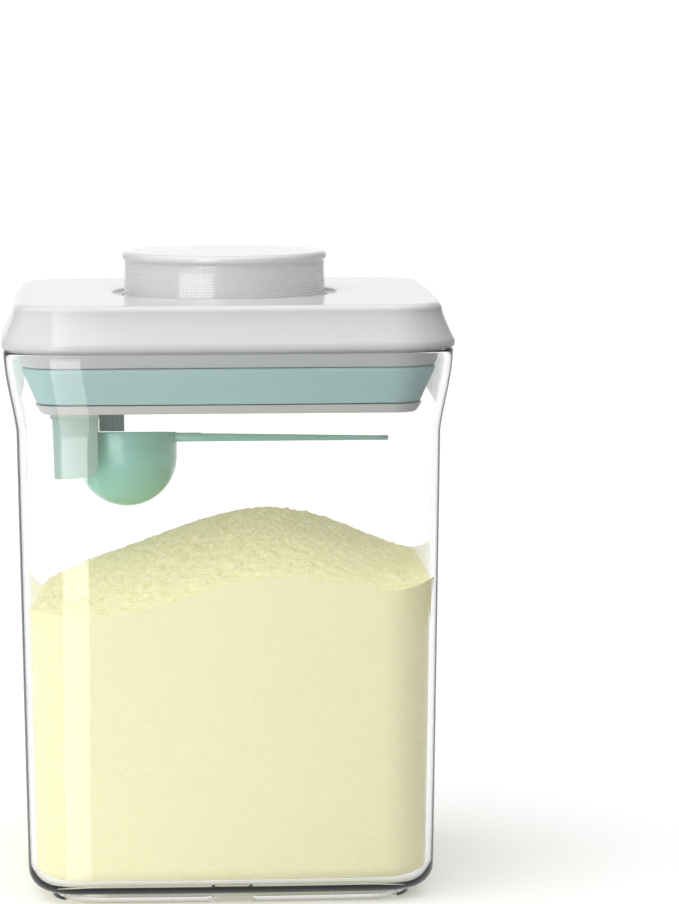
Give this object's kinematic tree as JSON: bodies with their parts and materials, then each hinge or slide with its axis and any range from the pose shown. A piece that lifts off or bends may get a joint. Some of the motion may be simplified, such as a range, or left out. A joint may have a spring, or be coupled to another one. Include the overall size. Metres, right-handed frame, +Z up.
{
  "type": "formula dispenser",
  "caption": "Square airtight powder container with a clear body, a push-button lid with an expanding seal, and a scoop clipped under the lid.",
  "frame": {"origin": "centre of the foot ring, on the surface the container stands on", "axes": "+Z up through the button; the front face looks along -Y, and the scoop's handle points along +X"},
  "size_m": [0.139, 0.139, 0.196],
  "materials": {
    "clear_plastic": "clear, polished",
    "white_gloss": "soft gloss",
    "white_button": "satin with a knurled side",
    "white_satin": "satin",
    "mint_silicone": "matte silicone",
    "mint_scoop": "gloss",
    "pale_mint": "gloss",
    "deep_green": "matte elastomer",
    "acetal": "satin",
    "steel": "drawn wire"
  },
  "bodies": {
    "container": {"container": "clear_plastic"},
    "lid": {"lid_cover": "white_gloss", "lid_frame": "white_satin", "frame_screws": "steel", "gasket": "mint_silicone", "return_spring": "steel", "pin_right": "steel", "pin_back": "steel", "pin_left": "steel", "pin_front": "steel"},
    "button": {"button_cap": "white_button", "plunger": "white_satin"},
    "seal_plate": {"seal_plate": "white_satin", "scoop_holder": "pale_mint", "leveller": "deep_green"},
    "latch": {"latch_hook": "steel"},
    "scoop": {"scoop": "mint_scoop"},
    "lever_right": {"lever_right": "acetal"},
    "lever_back": {"lever_back": "acetal"},
    "lever_left": {"lever_left": "acetal"},
    "lever_front": {"lever_front": "acetal"}
  },
  "joints": [
    {"name": "lid_lift", "type": "slide", "parent": "container", "child": "lid", "axis": [0, 0, 1], "range_m": [0, 0.12]},
    {"name": "button_press", "type": "slide", "parent": "lid", "child": "button", "axis": [0, 0, -1], "range_m": [0, 0.012], "stiffness_N_per_m": 260, "springref_m": -0.012, "deforming": ["return_spring"]},
    {"name": "plate_lift", "type": "slide", "parent": "lid", "child": "seal_plate", "axis": [0, 0, 1], "range_m": [0, 0.0024], "deforming": ["gasket"]},
    {"name": "latch_swing", "type": "hinge", "parent": "lid", "child": "latch", "pos_m": [0.01789, 0.01789, 0.15952], "axis": [0.7071, 0.7071, 0], "range_deg": [-16.29, 0], "stiffness_Nm_per_rad": 0.004},
    {"name": "scoop_release", "type": "slide", "parent": "seal_plate", "child": "scoop", "axis": [0, -0.1045, -0.9945], "range_m": [0, 0.018]},
    {"name": "lever_right_tip", "type": "hinge", "parent": "lid", "child": "lever_right", "pos_m": [0.04183, 0, 0.165], "axis": [0, -1, 0], "range_deg": [0, 28.06]},
    {"name": "lever_back_tip", "type": "hinge", "parent": "lid", "child": "lever_back", "pos_m": [0, 0.04183, 0.165], "axis": [1, 0, 0], "range_deg": [0, 28.06]},
    {"name": "lever_left_tip", "type": "hinge", "parent": "lid", "child": "lever_left", "pos_m": [-0.04183, 0, 0.165], "axis": [0, 1, 0], "range_deg": [0, 28.06]},
    {"name": "lever_front_tip", "type": "hinge", "parent": "lid", "child": "lever_front", "pos_m": [0, -0.04183, 0.165], "axis": [-1, 0, 0], "range_deg": [0, 28.06]}
  ],
  "couplings": [
    {"joint": "plate_lift", "follows": "button_press", "ratio": 0.2},
    {"joint": "lever_right_tip", "follows": "button_press", "rad_per_m": 40.67},
    {"joint": "lever_back_tip", "follows": "button_press", "rad_per_m": 40.67},
    {"joint": "lever_left_tip", "follows": "button_press", "rad_per_m": 40.67},
    {"joint": "lever_front_tip", "follows": "button_press", "rad_per_m": 40.67}
  ]
}
